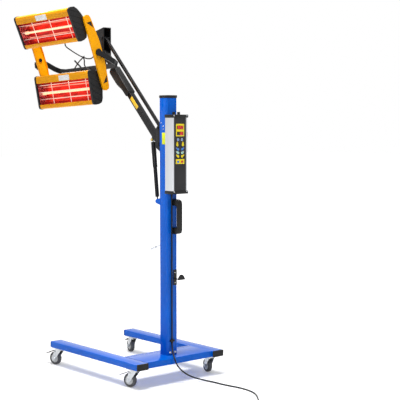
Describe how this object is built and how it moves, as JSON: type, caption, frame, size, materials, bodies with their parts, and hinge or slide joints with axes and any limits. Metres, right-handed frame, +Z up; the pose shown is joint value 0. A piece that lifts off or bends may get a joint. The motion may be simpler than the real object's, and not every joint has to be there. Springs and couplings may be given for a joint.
{
  "type": "infrared paint curing lamp",
  "caption": "Infrared paint curing lamp: tilting cassettes in a yoke on a lifting arm, mast with controller, and a wheeled U-shaped base.",
  "frame": {"origin": "on the floor, under the centre of the bounding box of the lamp without its free cord", "axes": "+Z up, +Y forward along the base legs, +X to the right of a person standing behind the mast and looking forward"},
  "size_m": [0.7304, 1.8737, 2.015],
  "materials": {
    "blue_paint": "gloss",
    "yellow_paint": "gloss",
    "black_paint": "satin",
    "black_plastic": "matte",
    "panel_plastic": "matte",
    "anodised_aluminium": "satin",
    "zinc_plated_steel": "satin",
    "chromed_steel": "polished",
    "grey_rubber": "matte",
    "yellow_plastic": "gloss",
    "red_plastic": "gloss",
    "reflector_aluminium": "polished",
    "quartz_glass": "gloss",
    "bright_steel_wire": "satin",
    "black_rubber": "matte"
  },
  "bodies": {
    "base": {"left_leg": "blue_paint", "right_leg": "blue_paint", "cross_box": "blue_paint", "front_left_leg_cap": "black_plastic", "rear_left_leg_cap": "black_plastic", "front_right_leg_cap": "black_plastic", "rear_right_leg_cap": "black_plastic", "mast": "blue_paint", "mast_cap": "black_plastic", "push_handle": "black_plastic", "cable_hook": "black_paint", "mast_lead": "black_rubber", "cord_clip": "black_plastic", "controller_case": "anodised_aluminium", "controller_top_cap": "black_plastic", "controller_bottom_cap": "black_plastic", "control_panel": "panel_plastic", "switch_plate": "yellow_plastic", "arm_bracket": "black_paint", "lock_block": "black_plastic", "cord": "black_rubber", "cord_coil": "black_rubber", "plug": "black_rubber"},
    "arm": {"lower_arm": "black_paint", "arm_cover": "black_plastic"},
    "link": {"upper_link": "black_paint"},
    "end": {"end_bracket": "black_paint"},
    "strut_tube": {"strut_cylinder": "black_paint"},
    "strut_piston": {"strut_rod": "chromed_steel"},
    "swivel": {"swivel_block": "black_paint"},
    "yoke": {"yoke": "black_paint"},
    "frame": {"left_side_bar": "yellow_paint", "right_side_bar": "yellow_paint"},
    "upper_cassette": {"upper_housing": "yellow_paint", "upper_left_cap": "black_plastic", "upper_right_cap": "black_plastic", "upper_reflector": "reflector_aluminium", "upper_emitter": "quartz_glass", "upper_guard": "bright_steel_wire"},
    "lower_cassette": {"lower_housing": "yellow_paint", "lower_left_cap": "black_plastic", "lower_right_cap": "black_plastic", "lower_reflector": "reflector_aluminium", "lower_emitter": "quartz_glass", "lower_guard": "bright_steel_wire"},
    "knob": {"friction_knob": "black_plastic"},
    "swivel_handle": {"swivel_lever": "black_plastic"},
    "lock_handle": {"lock_lever": "chromed_steel"},
    "main_switch": {"switch_knob": "red_plastic"},
    "front_left_castor": {"front_left_fork": "zinc_plated_steel"},
    "front_left_roller": {"front_left_wheel": "grey_rubber"},
    "front_left_brake": {"front_left_brake_pedal": "black_plastic"},
    "front_right_castor": {"front_right_fork": "zinc_plated_steel"},
    "front_right_roller": {"front_right_wheel": "grey_rubber"},
    "front_right_brake": {"front_right_brake_pedal": "black_plastic"},
    "rear_left_castor": {"rear_left_fork": "zinc_plated_steel"},
    "rear_left_roller": {"rear_left_wheel": "grey_rubber"},
    "rear_left_brake": {"rear_left_brake_pedal": "black_plastic"},
    "rear_right_castor": {"rear_right_fork": "zinc_plated_steel"},
    "rear_right_roller": {"rear_right_wheel": "grey_rubber"}
  },
  "joints": [
    {"name": "arm_lift", "type": "hinge", "parent": "base", "child": "arm", "pos_m": [0.06432, -0.33463, 1.2734], "axis": [1, 0, 0], "range_deg": [-55, 15]},
    {"name": "link_swing", "type": "hinge", "parent": "base", "child": "link", "pos_m": [0.06432, -0.33463, 1.3614], "axis": [1, 0, 0], "range_deg": [-56, 16]},
    {"name": "head_level", "type": "hinge", "parent": "arm", "child": "end", "pos_m": [0.06432, 0.16886, 1.78219], "axis": [1, 0, 0], "range_deg": [-16, 56]},
    {"name": "strut_swing", "type": "hinge", "parent": "base", "child": "strut_tube", "pos_m": [0.06432, -0.30263, 0.964], "axis": [1, 0, 0], "range_deg": [-2.3, 1.3]},
    {"name": "strut_slide", "type": "slide", "parent": "strut_tube", "child": "strut_piston", "axis": [0, 0.1107, 0.9939], "range_m": [-0.069, 0.0195]},
    {"name": "head_swivel", "type": "hinge", "parent": "end", "child": "swivel", "pos_m": [0.06432, 0.19937, 1.7], "axis": [0, 0, 1], "range_deg": [-166, 0]},
    {"name": "yoke_roll", "type": "hinge", "parent": "swivel", "child": "yoke", "pos_m": [0.00679, 0.25134, 1.6978], "axis": [0.9194, 0.0927, -0.3822], "range_deg": [-8, 8]},
    {"name": "frame_tilt", "type": "hinge", "parent": "yoke", "child": "frame", "pos_m": [-0.14768, 0.23577, 1.762], "axis": [-0.1217, 0.9912, -0.0523], "range_deg": [-25, 45]},
    {"name": "friction_knob_turn", "type": "hinge", "parent": "frame", "child": "knob", "pos_m": [-0.17749, 0.49021, 1.72057], "axis": [-0.1217, 0.9912, -0.0523], "range_deg": [-90, 90]},
    {"name": "upper_cassette_tilt", "type": "hinge", "parent": "frame", "child": "upper_cassette", "pos_m": [-0.21686, 0.23641, 1.93507], "axis": [-0.1217, 0.9912, -0.0523], "range_deg": [-20, 20]},
    {"name": "lower_cassette_tilt", "type": "hinge", "parent": "frame", "child": "lower_cassette", "pos_m": [-0.10112, 0.23196, 1.58156], "axis": [-0.1217, 0.9912, -0.0523], "range_deg": [-20, 20]},
    {"name": "swivel_lever_turn", "type": "hinge", "parent": "yoke", "child": "swivel_handle", "pos_m": [-0.00076, 0.3128, 1.69455], "axis": [0.9194, 0.0927, -0.3822], "range_deg": [-30, 30]},
    {"name": "lock_lever_swing", "type": "hinge", "parent": "base", "child": "lock_handle", "pos_m": [0.06432, -0.34933, 0.735], "axis": [1, 0, 0], "range_deg": [-15, 75]},
    {"name": "main_switch_turn", "type": "hinge", "parent": "base", "child": "main_switch", "pos_m": [0.12432, -0.46063, 1.328], "axis": [1, 0, 0], "range_deg": [0, 90]},
    {"name": "front_left_castor_swivel", "type": "hinge", "parent": "base", "child": "front_left_castor", "pos_m": [-0.19818, 0.27037, 0.095], "axis": [0, 0, 1], "continuous": true},
    {"name": "front_left_wheel_spin", "type": "hinge", "parent": "front_left_castor", "child": "front_left_roller", "pos_m": [-0.20663, 0.3033, 0.0375], "axis": [-0.9686, -0.2487, 0], "continuous": true},
    {"name": "front_left_brake_press", "type": "hinge", "parent": "front_left_castor", "child": "front_left_brake", "pos_m": [-0.20365, 0.29168, 0.08], "axis": [-0.9686, -0.2487, 0], "range_deg": [0, 8]},
    {"name": "front_right_castor_swivel", "type": "hinge", "parent": "base", "child": "front_right_castor", "pos_m": [0.32682, 0.27037, 0.095], "axis": [0, 0, 1], "continuous": true},
    {"name": "front_right_wheel_spin", "type": "hinge", "parent": "front_right_castor", "child": "front_right_roller", "pos_m": [0.33528, 0.3033, 0.0375], "axis": [-0.9686, 0.2487, 0], "continuous": true},
    {"name": "front_right_brake_press", "type": "hinge", "parent": "front_right_castor", "child": "front_right_brake", "pos_m": [0.33229, 0.29168, 0.08], "axis": [-0.9686, 0.2487, 0], "range_deg": [0, 8]},
    {"name": "rear_left_castor_swivel", "type": "hinge", "parent": "base", "child": "rear_left_castor", "pos_m": [-0.19818, -0.43963, 0.095], "axis": [0, 0, 1], "continuous": true},
    {"name": "rear_left_wheel_spin", "type": "hinge", "parent": "rear_left_castor", "child": "rear_left_roller", "pos_m": [-0.20663, -0.4067, 0.0375], "axis": [-0.9686, -0.2487, 0], "continuous": true},
    {"name": "rear_left_brake_press", "type": "hinge", "parent": "rear_left_castor", "child": "rear_left_brake", "pos_m": [-0.20365, -0.41832, 0.08], "axis": [-0.9686, -0.2487, 0], "range_deg": [0, 8]},
    {"name": "rear_right_castor_swivel", "type": "hinge", "parent": "base", "child": "rear_right_castor", "pos_m": [0.32682, -0.43963, 0.095], "axis": [0, 0, 1], "continuous": true},
    {"name": "rear_right_wheel_spin", "type": "hinge", "parent": "rear_right_castor", "child": "rear_right_roller", "pos_m": [0.33528, -0.4067, 0.0375], "axis": [-0.9686, 0.2487, 0], "continuous": true}
  ],
  "couplings": [
    {"joint": "link_swing", "follows": "arm_lift", "ratio": 1},
    {"joint": "head_level", "follows": "arm_lift", "ratio": -1},
    {"joint": "strut_swing", "follows": "arm_lift", "ratio": 0.0228},
    {"joint": "strut_slide", "follows": "arm_lift", "m_per_rad": 0.07081}
  ]
}
